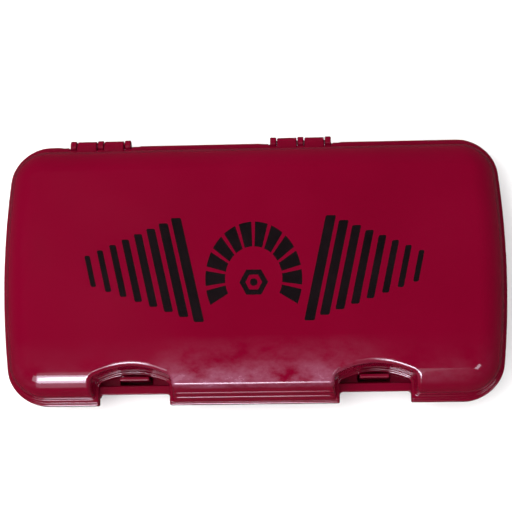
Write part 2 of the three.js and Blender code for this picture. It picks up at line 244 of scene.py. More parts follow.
def surface(name, field, grid):
    """A closed mesh of quads on a field's zero surface, with a vertex in each grid cell that it crosses."""
    axes = [np.asarray(axis, float) for axis in grid]
    x, y, z = np.meshgrid(*axes, indexing="ij", sparse=True)
    values = np.broadcast_to(field(x, y, z), [len(a) for a in axes])
    inside = values < 0
    cells = [n - 1 for n in inside.shape]
    filled = np.zeros(cells, np.int8)
    for corner in CELL_CORNERS:
        filled += inside[tuple(slice(o, o + n) for o, n in zip(corner, cells))]
    active = (filled > 0) & (filled < len(CELL_CORNERS))
    cell = np.argwhere(active)
    number = np.full(active.shape, -1, np.int32)
    number[active] = np.arange(len(cell))
    points = onto_surface(field, crossing_points(values, axes, cell))
    quads = np.concatenate([quads_across(inside, number, axis) for axis in range(3)])
    return mesh_object(name, points, quads, gradient(field, points))


def mesh_object(name, points_mm, quads, normals):
    """An object from points in millimetres, quads and the normals at the points."""
    mesh = bpy.data.meshes.new(name)
    mesh.vertices.add(len(points_mm))
    mesh.vertices.foreach_set("co", (points_mm * MM).astype(np.float32).ravel())
    mesh.loops.add(quads.size)
    mesh.loops.foreach_set("vertex_index", quads.astype(np.int32).ravel())
    mesh.polygons.add(len(quads))
    mesh.polygons.foreach_set("loop_start", np.arange(0, quads.size, 4, dtype=np.int32))
    mesh.polygons.foreach_set("use_smooth", np.ones(len(quads), bool))
    mesh.update(calc_edges=True)
    mesh.validate()
    lengths = np.maximum(np.linalg.norm(normals, axis=1), 1e-9)
    mesh.normals_split_custom_set_from_vertices((normals / lengths[:, None]).tolist())
    piece = bpy.data.objects.new(name, mesh)
    bpy.context.scene.collection.objects.link(piece)
    return piece


def finish_piece(piece, material, node):
    """Gives a piece its material, and lets it stand for a CAD node on that node's body."""
    piece.data.materials.append(material)
    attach(piece, BODY_OF[node])
    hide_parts(node)


# ---- Case shells -----------------------------------------------------------------------------

# A notch's half width, where its arch springs and where it is highest, in the wall and in the flange.
WALL_NOTCH = (11.4, FRONT + 7.1, FRONT + 10)
FLANGE_NOTCH = (10.6, FRONT + 6.5, FRONT + 8.95)
NOTCH_CORNER = 1.2
NOTCH_FLARE = 0.55
NOTCH_SPRING_LEAN = 0.7
NOTCH_CROWN_LEAN = 1.1
LEDGE_ROUND = 0.45

LIP_HALF = 25
LIP_FRONT = FRONT + 0.9
LIP_BACK = FRONT + 10.5
LIP_CREST = (FRONT + 5.1, TOP - 0.15)
LIP_CREST_ROUND = 0.6
LIP_FOOT = (FRONT + 1, PARTING + 2.1)
LIP_RIBS = (0.5, 0.77)
LIP_RIB_RADIUS = 0.3
LIP_RIB_HALF = 22.6

# A pocket's half width and its back, in the wall and in the flange.
WALL_POCKET = (11.1, FRONT + 4.3)
FLANGE_POCKET = (10.5, FRONT + 3.3)
POCKET_CORNER = 1
SHELF_HALF = 12.4
SHELF_Y = (FRONT + 5, FRONT + 10.7)
SHELF_Z = (7.6, 8.8)
SLOT_HALF = 4.8
SLOT_Y = (FRONT + 6.2, FRONT + 8.5)

DIVIDER_X = 38
DIVIDER_HALF = 0.6
DIVIDER_Y = (-30, HALF_DEPTH - 3)
DIVIDER_Z = (FLOOR / 2, 8)


def shell(x, y, z, inset, end_z, radius):
    """A shell's body from its flat end to beyond the parting plane, leaning inwards by the draft."""
    lean = DRAFT * np.abs(z - PARTING)
    plan = outline(x, y, FLANGE_ENDS + inset, FLANGE_SIDES + inset) + lean
    end = z - end_z if end_z > PARTING else end_z - z
    return cut_both(plan, end, radius)


def lid_notch(x, y, z):
    """The notches through the lid's wall, which widen in the lowest third and lean back."""
    half, spring, crown = WALL_NOTCH
    share = (z - PARTING - FLANGE_THICK) / (TOP - PARTING - FLANGE_THICK)
    half = half + NOTCH_FLARE * np.clip(3 * share, 0, 1)
    return arch_hollow(x, y, half, spring + NOTCH_SPRING_LEAN * share, crown + NOTCH_CROWN_LEAN * share)


def lift_lip(x, y, z):
    """Wedge between the notches, with a crisp crest and two ribs on its slope."""
    (crest_y, crest_z), (foot_y, foot_z) = LIP_CREST, LIP_FOOT
    run = math.hypot(crest_y - foot_y, crest_z - foot_z)
    ny, nz = (foot_z - crest_z) / run, (crest_y - foot_y) / run
    off = (y - crest_y) * ny + (z - crest_z) * nz
    along = (y - crest_y) * nz - (z - crest_z) * ny
    wedge = cut_both(off, z - TOP, LIP_CREST_ROUND)
    wedge = cut_both(wedge, LIP_FRONT - y, FILLET)
    wedge = cut_both(wedge, y - LIP_BACK, FILLET)
    wedge = cut_both(wedge, np.abs(x) - LIP_HALF, FILLET)
    for place in LIP_RIBS:
        beyond = np.maximum(np.abs(x) - LIP_RIB_HALF, 0)
        bead = np.sqrt(off**2 + (along + run * place) ** 2 + beyond**2) - LIP_RIB_RADIUS
        wedge = merge(wedge, bead, FILLET)
    return wedge


def knuckle_spans(centre):
    """Spans along X of the ears and barrels of one hinge, in order."""
    widths = [EAR_WIDTH, BARREL_WIDTH, EAR_WIDTH, BARREL_WIDTH, EAR_WIDTH]
    start = centre - (sum(widths) + (len(widths) - 1) * KNUCKLE_GAP) / 2
    spans = []
    for width in widths:
        spans.append((start, start + width))
        start += width + KNUCKLE_GAP
    return spans


BARREL_SPANS = [span for c in HINGE_CENTRES for span in knuckle_spans(c)[1::2]]
EAR_SPANS = [span for c in HINGE_CENTRES for span in knuckle_spans(c)[0::2]]


def with_knuckles(body, x, y, z, spans, radius, root_z):
    """Adds hinge knuckles and their roots to a shell."""
    for left, right in spans:
        rod = rod_field(x, y, z, (left, right), radius, FILLET)
        root = block(x, y, z, (left, ROOT_Y, root_z[0]), (right, HINGE_Y, root_z[1]), EDGE_ROUND)
        body = merge(body, merge(rod, root, FILLET), EDGE_ROUND)
    return body


def without_swing(body, x, y, z, spans, radius):
    """Clears the space that the other shell's knuckles turn in, and the pin's bore."""
    swing = radius + SWING_ROOM
    for left, right in spans:
        wide = (left - KNUCKLE_GAP, right + KNUCKLE_GAP)
        space = rod_field(x, y, z, wide, swing, KEEN)
        low = (wide[0], HINGE_Y, PARTING - SWING_HALF_HEIGHT)
        high = (wide[1], HINGE_Y + SWING_DEPTH, PARTING + SWING_HALF_HEIGHT)
        body = carve(body, np.minimum(space, block(x, y, z, low, high, KEEN)), SWING_ROUND)
    for centre in HINGE_CENTRES:
        span = (centre - BORE_HALF_LENGTH, centre + BORE_HALF_LENGTH)
        body = carve(body, rod_field(x, y, z, span, BORE, KEEN), CRISP)
    return body


def lid_field(x, y, z):
    """The lid: shell and lift lip, notches, stepped flange, hollow, and knuckles last."""
    bottom = PARTING + SEAM
    notch = lid_notch(x, y, z)
    body = np.minimum(shell(x, y, z, 0, TOP, LID_ROUND), lift_lip(x, y, z))
    body = carve(body, notch, RIM_ROUND)
    rim = outline(x, y, 0, 0)
    flange = cut_both(rim, z - bottom - FLANGE_LIP, EDGE_ROUND)
    step = cut_both(rim + FLANGE_LIP, z - bottom - FLANGE_THICK, EDGE_ROUND)
    body = merge(body, merge(flange, step, CRISP), FILLET)
    body = carve(body, arch_hollow(x, y, *FLANGE_NOTCH), LEDGE_ROUND)
    hollow = shell(x, y, z, WALL, TOP - WALL, LID_ROUND - WALL)
    hollow = carve(hollow, notch - WALL, INNER_ROUND)
    body = carve(body, hollow, FILLET)
    body = cut_both(body, bottom - z, SLIGHT)
    body = with_knuckles(body, x, y, z, BARREL_SPANS, BARREL_RADIUS, (bottom, bottom + ROOT_HEIGHT))
    return without_swing(body, x, y, z, EAR_SPANS, EAR_RADIUS)


def pocket(x, y, half, back_y):
    """Plan distance to the latch pockets, which are open to the front."""
    return cut_both(np.abs(np.abs(x) - NOTCH_X) - half, y - back_y, POCKET_CORNER)


def latch_shelf(x, y, z, side):
    """Shelf behind a pocket, with a slot for the tongue."""
    middle = side * NOTCH_X
    low = (middle - SHELF_HALF, SHELF_Y[0], SHELF_Z[0])
    high = (middle + SHELF_HALF, SHELF_Y[1], SHELF_Z[1])
    shelf = block(x, y, z, low, high, EDGE_ROUND)
    middle = side * TONGUE_X
    low = (middle - SLOT_HALF, SLOT_Y[0], 0)
    high = (middle + SLOT_HALF, SLOT_Y[1], PARTING)
    return carve(shelf, block(x, y, z, low, high, SOFT), SLIGHT)


def divider(x, y, z, side):
    """Low wall on the floor between two bays."""
    middle = side * DIVIDER_X
    low = (middle - DIVIDER_HALF, DIVIDER_Y[0], DIVIDER_Z[0])
    high = (middle + DIVIDER_HALF, DIVIDER_Y[1], DIVIDER_Z[1])
    return block(x, y, z, low, high, SOFT)


def base_field(x, y, z):
    """The base: shell with pockets, flange, hollow, shelves and dividers, and knuckles last."""
    top = PARTING - SEAM
    outside = shell(x, y, z, 0, 0.0, BASE_ROUND)
    in_wall = pocket(x, y, *WALL_POCKET)
    body = carve(outside, in_wall, SOFT)
    plan = carve(outline(x, y, 0, 0), pocket(x, y, *FLANGE_POCKET), SOFT)
    flange = cut_both(plan, top - FLANGE_THICK - z, EDGE_ROUND)
    body = merge(body, flange, EDGE_ROUND)
    hollow = shell(x, y, z, WALL, FLOOR, BASE_ROUND - WALL)
    hollow = carve(hollow, in_wall - WALL, INNER_ROUND)
    body = carve(body, hollow, FILLET)
    for side in (-1, 1):
        body = merge(body, latch_shelf(x, y, z, side), FILLET)
        body = merge(body, np.maximum(divider(x, y, z, side), outside + WALL / 2), SOFT)
    body = cut_both(body, z - top, SLIGHT)
    body = with_knuckles(body, x, y, z, EAR_SPANS, EAR_RADIUS, (top - ROOT_HEIGHT, top))
    return without_swing(body, x, y, z, BARREL_SPANS, BARREL_RADIUS)


# Grid lines of the shells: fine where there are notches, knuckles and round edges, coarse on the flats.
END, FINE, COARSE = 0.52, 0.44, 1.5
SHELL_X = lines(
    (-77, END), (-61, COARSE), (-57, FINE), (-22, COARSE), (4, FINE), (50, COARSE), (61, END), (77, END),
)
SHELL_Y = lines((-41, 0.3), (-28, COARSE), (28, END), (35, 0.36), (42.4, 0.36))
LID_Z = lines((9, 0.25), (14, 0.44), (23.2, 0.44))
BASE_Z = lines((-0.6, 0.42), (5.4, 0.7), (8.5, 0.32), (13.4, 0.32))


# ---- Pins and tongues ------------------------------------------------------------------------

PIN_ROUND = 0.35
PIN_CELL = 0.13
PIN_MARGIN = 0.3
HOOK_DEPTH = 0.3
HOOK_SETBACK = 0.2
HOOK_Z = PARTING + 1.95
LEAF_ROUND = 0.15
HOOK_ROUND = 0.18
HOOK_OVERLAP = 0.5
TONGUE_CELL = 0.12
TONGUE_MARGIN = 0.4


def hinge_pin(side):
    """A wire pin with rounded ends."""
    low, high = PIN_BOXES[side]
    radius = (high[2] - low[2]) / 2

    def field(x, y, z):
        return rod_field(x, y, z, (low[0], high[0]), radius, PIN_ROUND)

    return surface(f"pin_{side}", field, even_grid(low, high, PIN_CELL, PIN_MARGIN))


def latch_tongue(side):
    """An upright leaf with a small hook at the top of its inner side."""
    low, high = box_mm(f"latch_tongue_{side}")
    inner_y = high[1] - HOOK_DEPTH

    def field(x, y, z):
        leaf = block(x, y, z, low, (high[0], inner_y, high[2]), LEAF_ROUND)
        hook = block(x, y, z, (low[0] + HOOK_SETBACK, inner_y - HOOK_OVERLAP, HOOK_Z), high, HOOK_ROUND)
        return merge(leaf, hook, SLIGHT)

    return surface(f"tongue_{side}", field, even_grid(low, high, TONGUE_CELL, TONGUE_MARGIN))


# ---- Mouthguard ------------------------------------------------------------------------------

GUARD_LOW, GUARD_HIGH = box_mm("mouthguard_frame")
GUARD_OUT = 7
GUARD_IN = 6
ARCH_RX = GUARD_HIGH[0] - GUARD_OUT
ARCH_RY = 19
ARCH_Y = GUARD_LOW[1] + GUARD_OUT + ARCH_RY
LEG_Y = GUARD_HIGH[1] - (GUARD_OUT + GUARD_IN) / 2
GUARD_Z = GUARD_LOW[2]
PLATE_TOP = 5.6
RIM_FRONT = 16.8
RIM_BACK = 12.5
PAD_HALF = 3.6
PAD_Y = (-1, 11.5)
PAD_GAP = 0.3
FRAME_WALL = 1.4
GRIP_DEPTH = 0.16
GRIP_PITCH = 2 * math.pi / 3.2
GRIP_FREE_HALF = 7
GRIP_START = PLATE_TOP + 0.4
RIM_SLOPE_START = GUARD_LOW[1] - 1
RIM_SLOPE_END = LEG_Y + 10
DIP_Y = -19
DIP_FADE = 4
DIP_DEPTH = 2.8
DIP_SPREAD = 3.4
LINER_OUT = 5.3
LINER_BOTTOM = PLATE_TOP + 0.3
LINER_DROP = 0.6
INNER_WALL_DROP = 2.9
LINER_SLOPE = 9
CHANNEL_OUT = 3.7
CHANNEL_IN = 4.4
CHANNEL_FLOOR = 1.7
CHANNEL_ROUND = 0.9
DIMPLE_DEPTH = 0.22
DIMPLE_PITCH = 2 * math.pi / 2.1
TREAD_DEPTH = 0.18
TREAD_PITCH = 2 * math.pi / 2.6
GUARD_ROUND = 0.6
GUARD_MARGIN = 0.8
GUARD_CELL = 0.42
PAD_CELL = 0.25


def beyond_arch(x, y, offset):
    """Plan distance beyond a horseshoe line that lies an offset outside the middle one."""
    rx, ry = ARCH_RX + offset, ARCH_RY + offset
    u, v = np.maximum(np.abs(x), 0.01) / rx, np.minimum(y - ARCH_Y, 0) / ry
    reach = np.hypot(u, v)
    return (reach - 1) * reach / np.hypot(u / rx, v / ry)


def arch_band(x, y, outer, inner):
    """Plan distance to a horseshoe band with round leg ends."""
    band = np.maximum(beyond_arch(x, y, outer), -beyond_arch(x, y, -inner))
    end = np.hypot(np.abs(x) - ARCH_RX - (outer - inner) / 2, y - LEG_Y) - (outer + inner) / 2
    return np.where(y > LEG_Y, end, band)


def guard_rim(x, y, drop):
    """Height of the rim: it falls towards the back teeth and dips in front for the lip."""
    share = (y - RIM_SLOPE_START) / (RIM_SLOPE_END - RIM_SLOPE_START)
    dip = DIP_DEPTH * np.exp(-((x / DIP_SPREAD) ** 2)) * np.clip((DIP_Y - y) / DIP_FADE, 0, 1)
    return RIM_FRONT + (RIM_BACK - RIM_FRONT) * share - drop - dip


def wave(along, pitch):
    """A sine that repeats every pitch."""
    return np.sin(2 * math.pi * along / pitch)


def pad_plan(x, y, grow):
    """Plan distance to the pads' long round outlines, one on each leg."""
    along = y - np.clip(y, *PAD_Y)
    return np.hypot(np.abs(x) - ARCH_RX, along) - PAD_HALF - grow


def frame_field(x, y, z):
    """Firm outer frame: a bite plate with windows for the pads, and the front wall."""
    plate = cut_both(arch_band(x, y, GUARD_OUT, GUARD_IN), z - PLATE_TOP, INNER_ROUND)
    ribbed = (z > GRIP_START) * (np.abs(x) > GRIP_FREE_HALF)
    outer = GUARD_OUT - GRIP_DEPTH + GRIP_DEPTH * np.clip(wave(z, GRIP_PITCH), 0, 1) * ribbed
    wall = cut_both(arch_band(x, y, outer, FRAME_WALL - GUARD_OUT), z - guard_rim(x, y, 0), GUARD_ROUND)
    body = cut_both(merge(plate, wall, INNER_ROUND), GUARD_Z - z, GUARD_ROUND)
    return carve(body, pad_plan(x, y, PAD_GAP), EDGE_ROUND)


def liner_field(x, y, z):
    """Soft liner: a channel for the teeth with a dimpled floor and a lower inner wall."""
    inward = np.clip(0.5 - beyond_arch(x, y, 0) / LINER_SLOPE, 0, 1)
    rim = guard_rim(x, y, LINER_DROP) - INNER_WALL_DROP * inward
    body = cut_both(arch_band(x, y, LINER_OUT, GUARD_IN), z - rim, GUARD_ROUND)
    body = cut_both(body, LINER_BOTTOM - z, SOFT)
    dimples = DIMPLE_DEPTH * wave(x, DIMPLE_PITCH) * wave(y, DIMPLE_PITCH)
    floor = LINER_BOTTOM + CHANNEL_FLOOR + dimples
    channel = cut_both(arch_band(x, y, CHANNEL_OUT, CHANNEL_IN), floor - z, CHANNEL_ROUND)
    return carve(body, channel, INNER_ROUND)


def pad_field(side):
    """Soft pad with slanted treads on its underside."""
    low, high = box_mm(f"bite_pad_{side}")
    turn = 1 if side == "right" else -1

    def field(x, y, z):
        slant = y + (x - turn * ARCH_RX) / 2
        tread = TREAD_DEPTH * wave(slant + TREAD_PITCH / 4, TREAD_PITCH)
        other_side = np.where(turn * x > 0, 0, HALF_LENGTH)
        body = cut_both(pad_plan(x, y, 0) + other_side, z - high[2], SOFT)
        return cut_both(body, low[2] + TREAD_DEPTH + tread - z, FILLET)

    return field


def guard_grid(node, cell):
    """Grid lines round one of the mouthguard's CAD nodes."""
    return even_grid(*box_mm(node), cell, GUARD_MARGIN)


# ---- Printed emblem --------------------------------------------------------------------------
# A generic pattern in black ink: a row of teeth round a hexagon, between two wings of slanted bars.

INK_TOP = 0.03
INK_ROOT = 0.02
ARC_STEPS = 4
EMBLEM_X = 0.6

WING_Y = -0.6
WING_BARS = 8
WING_START = 19.5
WING_STEP = 4.1
BAR_WIDTH = 3
BAR_THINNING = 0.2
BAR_HEIGHT = 31
BAR_SHORTENING = 3.1
BAR_SLANT = 0.22
BAR_CORNER = 0.5

TEETH_Y = -3.6
TEETH = 12
TEETH_INNER = (8.4, 9.6)
TEETH_OUTER = (14.2, 17)
TEETH_PAST_HALF_TURN = 0.5
TOOTH_GAP = 0.04

HEXAGON_Y = -4.6
HEXAGON_SIZE = (8.4, 7.4)
HEXAGON_LINE = 1.5
HEXAGON_LINE_STRETCH = 1.15
HEXAGON_SHOULDER = 0.52
DOT_RADIUS = 1.1
DOT_SIDES = 20


def slab_mesh(name, shapes):
    """Thin closed slabs on the lid's top, each from a list of loops with the same number of points.
    One loop is a solid shape, and two loops are a ring."""
    points, faces = [], []
    for loops in shapes:
        count = len(loops[0])
        start = len(points)
        for level in (TOP + INK_TOP, TOP - INK_ROOT):
            for loop in loops:
                points += [(px * MM, py * MM, level * MM) for px, py in loop]
        starts = [start + n * count for n in range(len(loops))]
        top = [list(range(first, first + count)) for first in starts]
        bottom = [[i + len(loops) * count for i in loop] for loop in top]
        if len(loops) == 1:
            faces += [top[0], bottom[0][::-1]]
        for a in range(count):
            b = (a + 1) % count
            if len(loops) == 2:
                faces.append([top[0][a], top[0][b], top[1][b], top[1][a]])
                faces.append([bottom[0][b], bottom[0][a], bottom[1][a], bottom[1][b]])
                faces.append([top[1][a], top[1][b], bottom[1][b], bottom[1][a]])
            faces.append([top[0][b], top[0][a], bottom[0][a], bottom[0][b]])
    mesh = bpy.data.meshes.new(name)
    mesh.from_pydata(points, [], faces)
    mesh.validate()
    piece = bpy.data.objects.new(name, mesh)
    bpy.context.scene.collection.objects.link(piece)
    return piece


def slanted_bar(x, y, width, height, slant):
    """A parallelogram with round corners."""
    loop = []
    for cx, cy, start in ((1, -1, -90), (1, 1, 0), (-1, 1, 90), (-1, -1, 180)):
        for step in range(ARC_STEPS + 1):
            angle = math.radians(start + 90 * step / ARC_STEPS)
            px = cx * (width / 2 - BAR_CORNER) + BAR_CORNER * math.cos(angle)
            py = cy * (height / 2 - BAR_CORNER) + BAR_CORNER * math.sin(angle)
            loop.append((x + px + slant * py, y + py))
    return [loop]


def hexagon(x, y, width, height, line):
    """A hexagon's outline, longer along X than along Y."""
    share = HEXAGON_SHOULDER
    corners = ((1, 0), (share, 1), (-share, 1), (-1, 0), (-share, -1), (share, -1))

    def loop(shrink):
        w, h = width / 2 - shrink * HEXAGON_LINE_STRETCH, height / 2 - shrink
        return [(x + w * a, y + h * b) for a, b in corners]

    return [loop(0), loop(line)]


def dot(x, y, radius):
    """A round spot."""
    turns = [2 * math.pi * n / DOT_SIDES for n in range(DOT_SIDES)]
    return [[(x + radius * math.cos(t), y + radius * math.sin(t)) for t in turns]]


def tooth(x, y, start, end):
    """One block of a row of teeth round an arch, between two angles."""
    def arc(radii, a, b):
        turns = np.linspace(a, b, ARC_STEPS + 2)
        return [(x + radii[0] * math.cos(t), y + radii[1] * math.sin(t)) for t in turns]

    return [arc(TEETH_OUTER, start, end) + arc(TEETH_INNER, end, start)]


def dental_arch(x, y):
    """A mouthguard seen from above, as a row of teeth."""
    edges = np.linspace(-TEETH_PAST_HALF_TURN, math.pi + TEETH_PAST_HALF_TURN, TEETH + 1)
    return [tooth(x, y, a + TOOTH_GAP, b - TOOTH_GAP) for a, b in zip(edges, edges[1:])]


def wing(side):
    """Slanted bars that get shorter and thinner outwards."""
    bars = []
    for n in range(WING_BARS):
        x = EMBLEM_X + side * (WING_START + WING_STEP * n)
        width = BAR_WIDTH - BAR_THINNING * n
        height = BAR_HEIGHT - BAR_SHORTENING * n
        bars.append(slanted_bar(x, WING_Y, width, height, BAR_SLANT * side))
    return bars


def emblem():
    """The ink pieces, centred on the part of the lid that carries them."""
    shapes = {
        "ink_wings": wing(-1) + wing(1),
        "ink_teeth": dental_arch(EMBLEM_X, TEETH_Y),
        "ink_hexagon": [hexagon(EMBLEM_X, HEXAGON_Y, *HEXAGON_SIZE, HEXAGON_LINE)],
        "ink_dot": [dot(EMBLEM_X, HEXAGON_Y, DOT_RADIUS)],
    }
    return [slab_mesh(name, loops) for name, loops in shapes.items()]


# ---- Materials -------------------------------------------------------------------------------


class Nodes:
    """Short names for building a node material."""

    def __init__(self, name):
        self.material = bpy.data.materials.new(name)
        self.material.use_nodes = True
        self.tree = self.material.node_tree
        self.shader = self.tree.nodes["Principled BSDF"]

    def add(self, kind, **inputs):
        """A node with the given inputs."""
        node = self.tree.nodes.new(kind)
        for key, value in inputs.items():
            self.set(node, key.replace("_", " "), value)
        return node

    def set(self, node, key, value):
        """Sets an input to a value, or links it to an output."""
        socket = node.inputs[key]
        if isinstance(value, bpy.types.NodeSocket):
            self.tree.links.new(value, socket)
        else:
            socket.default_value = value

    def plain(self, **inputs):
        """Sets inputs of the shader itself."""
        for key, value in inputs.items():
            self.shader.inputs[key.replace("_", " ")].default_value = value

    def place(self, scale=(1, 1, 1), turn=(0, 0, 0)):
        """Object coordinates, scaled and turned."""
        mapping = self.add("ShaderNodeMapping", Scale=scale, Rotation=turn)
        self.set(mapping, "Vector", self.add("ShaderNodeTexCoord").outputs["Object"])
        return mapping.outputs["Vector"]

    def noise(self, scale, detail=2.0, roughness=0.5, stretch=(1, 1, 1), turn=(0, 0, 0)):
        """Noise in object coordinates."""
        node = self.add("ShaderNodeTexNoise", Scale=scale, Detail=detail, Roughness=roughness)
        self.set(node, "Vector", self.place(stretch, turn))
        return node.outputs["Fac"]

    def ramp(self, value, stops):
        """A value turned into colours or greys through (position, colour) stops."""
        node = self.add("ShaderNodeValToRGB")
        ramp = node.color_ramp
        while len(ramp.elements) < len(stops):
            ramp.elements.new(0.5)
        for element, (position, colour) in zip(ramp.elements, stops):
            element.position = position
            rgb = colour if isinstance(colour, tuple) else (colour,) * 3
            element.color = (*rgb, 1)
        self.set(node, "Fac", value)
        return node.outputs["Color"]

    def math(self, operation, a, b=0.0):
        """The result of one operation on two values."""
        node = self.tree.nodes.new("ShaderNodeMath")
        node.operation = operation
        self.set(node, 0, a)
        self.set(node, 1, b)
        return node.outputs["Value"]

    def mix(self, share, a, b):
        """Colour a with a share of colour b."""
        node = self.tree.nodes.new("ShaderNodeMix")
        node.data_type = "RGBA"
        for socket, value in ((node.inputs[0], share), (node.inputs[6], a), (node.inputs[7], b)):
            if isinstance(value, bpy.types.NodeSocket):
                self.tree.links.new(value, socket)
            else:
                socket.default_value = value
        return node.outputs[2]

    def bump(self, height, strength, distance):
        """Gives the shader a relief."""
        node = self.add("ShaderNodeBump", Strength=strength, Distance=distance, Height=height)
        self.set(self.shader, "Normal", node.outputs["Normal"])


PLASTIC_IOR = 1.49
CRIMSON_DEEP = (0.115, 0.0003, 0.0102)
CRIMSON = (0.125, 0.0004, 0.0116)
# Pale pinkish colour of a painted haze: a sheen mixed into the lid's tone over the smudges, standing in for
# light they scatter.
PAINTED_HAZE_TONE = (0.4, 0.18, 0.3, 1)
TOP_SPAN = 0.025
FRONT_SPAN = 0.04
ASIDE_SPAN = 0.05
SMUDGE_AND_HAZE_MIDDLE = 0.004
SIDE_MATTNESS = 0.05
SMUDGE_MATTNESS = 0.26
SCRATCH_MATTNESS = 0.12
# Share of the painted haze colour in the lid's tone, where the smudges are.
PAINTED_HAZE_SHARE = 0.28
SCRATCH_DEPTH = 0.6


def smudge_and_haze_mask(n, split, top):
    """Finger smudges towards the front of the lid's top, mostly between the notches; the same mask places a
    painted haze in the tone.
    """
    ahead = n.math("MULTIPLY", split.outputs["Y"], -1 / FRONT_SPAN)
    front = n.ramp(ahead, [(0.5, 0.0), (0.68, 0.24), (0.82, 1.0)])
    aside = n.math("ABSOLUTE", n.math("SUBTRACT", split.outputs["X"], SMUDGE_AND_HAZE_MIDDLE))
    middle = n.ramp(n.math("MULTIPLY", aside, 1 / ASIDE_SPAN), [(0.5, 1.0), (0.75, 0.2)])
    smears_and_haze = n.ramp(n.noise(90, 9, 0.66, (1, 1.5, 1), (0, 0, 0.5)), [(0.36, 0.0), (0.62, 1.0)])
    return n.math("MULTIPLY", n.math("MULTIPLY", smears_and_haze, middle), n.math("MULTIPLY", front, top))


def scratch_mask(n, top):
    """Fine scratches in two directions, in patches on the lid's top."""
    noise_a = n.noise(26, 1, 0.5, (1, 60, 1), (0, 0, 0.55))
    noise_b = n.noise(31, 1, 0.5, (60, 1, 1), (0, 0, 0.3))
    lines_a = n.ramp(noise_a, [(0.496, 0.0), (0.5, 1.0), (0.504, 0.0)])
    lines_b = n.ramp(noise_b, [(0.497, 0.0), (0.5, 1.0), (0.503, 0.0)])
    patches = n.ramp(n.noise(40, 2), [(0.52, 0.0), (0.62, 1.0)])
    return n.math("MULTIPLY", n.math("MAXIMUM", lines_a, lines_b), n.math("MULTIPLY", patches, top))


def wear_and_haze(n, tone, rough, relief):
    """Wear of a lid: matter sides, smudges and scratches, worked into its roughness and relief, and a
    painted haze over the smudges, mixed into its tone.
    """
    split = n.add("ShaderNodeSeparateXYZ")
    n.set(split, 0, n.place())
    top = n.ramp(n.math("MULTIPLY", split.outputs["Z"], 1 / TOP_SPAN), [(0.78, 0.0), (0.83, 1.0)])
    smudge_and_haze = smudge_and_haze_mask(n, split, top)
    scratch = scratch_mask(n, top)
    rough = n.math("ADD", rough, n.math("MULTIPLY", n.math("SUBTRACT", 1.0, top), SIDE_MATTNESS))
    rough = n.math("ADD", rough, n.math("MULTIPLY", smudge_and_haze, SMUDGE_MATTNESS))
    rough = n.math("ADD", rough, n.math("MULTIPLY", scratch, SCRATCH_MATTNESS))
    # Painted haze: a pale sheen mixed into the tone where the smudges are, standing in for the light they
    # scatter.
    tone = n.mix(n.math("MULTIPLY", smudge_and_haze, PAINTED_HAZE_SHARE), tone, PAINTED_HAZE_TONE)
    relief = n.math("SUBTRACT", relief, n.math("MULTIPLY", scratch, SCRATCH_DEPTH))
    return tone, rough, relief


def crimson_plastic(name, gloss, shine, with_wear_and_haze=False):
    """Moulded plastic with a slight change of tone and a faint ripple."""
    n = Nodes(name)
    tone = n.ramp(n.noise(35, 3), [(0.3, CRIMSON_DEEP), (0.7, CRIMSON)])
    rough = n.ramp(n.noise(60, 5), [(0.4, gloss), (0.75, gloss + 0.03)])
    relief = n.noise(220, 2)
    # The lid also gets wear, and a painted haze over its smudges in its tone.
    if with_wear_and_haze:
        tone, rough, relief = wear_and_haze(n, tone, rough, relief)
    n.set(n.shader, "Base Color", tone)
    n.set(n.shader, "Roughness", rough)
    n.plain(IOR=PLASTIC_IOR, Specular_IOR_Level=shine)
    n.bump(relief, 0.05, 0.0002)
    return n.material


def pin_steel():
    """Drawn wire with fine lines along it."""
    n = Nodes("pin_steel")
    grain = n.noise(400, 3, stretch=(0.1, 6, 6))
    n.set(n.shader, "Base Color", n.ramp(grain, [(0.3, (0.42, 0.42, 0.43)), (0.7, (0.6, 0.6, 0.61))]))
    n.set(n.shader, "Roughness", n.ramp(grain, [(0.3, 0.28), (0.7, 0.42)]))
    n.plain(Metallic=1)
    n.bump(grain, 0.1, 0.00005)
    return n.material


def rubber(name, dark, pale, roughness):
    """Moulded rubber with a fine satin grain."""
    n = Nodes(name)
    n.set(n.shader, "Base Color", n.ramp(n.noise(70, 4), [(0.35, dark), (0.7, pale)]))
    satin_range = [(0.3, roughness - 0.06), (0.7, roughness + 0.06)]
    n.set(n.shader, "Roughness", n.ramp(n.noise(140, 3), satin_range))
    n.bump(n.noise(900, 3), 0.12, 0.0001)
    return n.material


def black_ink():
    """Printed ink, a little less glossy than the plastic and thinly worn."""
    n = Nodes("black_ink")
    wear = n.noise(160, 6, 0.6)
    tones = [(0.3, (0.0025, 0.0016, 0.002)), (0.75, (0.005, 0.0022, 0.003))]
    n.set(n.shader, "Base Color", n.ramp(wear, tones))
    n.set(n.shader, "Roughness", n.ramp(wear, [(0.35, 0.2), (0.7, 0.23)]))
    n.bump(n.noise(700, 2), 0.02, 0.00005)
    return n.material


# ---- Camera, light and floor -----------------------------------------------------------------

CAMERA_AZIMUTH, CAMERA_ELEVATION, CAMERA_ROLL = 16.4, 80.17, -17.17
CAMERA_DISTANCE = 0.430
CAMERA_TARGET = (0.0008, 0.00494, PARTING * MM)
CAMERA_LENS = 100.4


def direction(azimuth, elevation):
    """Unit vector from the case towards a place given in degrees, with azimuth 0 in front."""
    a, e = math.radians(azimuth), math.radians(elevation)
    return Vector((math.sin(a) * math.cos(e), -math.cos(a) * math.cos(e), math.sin(e)))


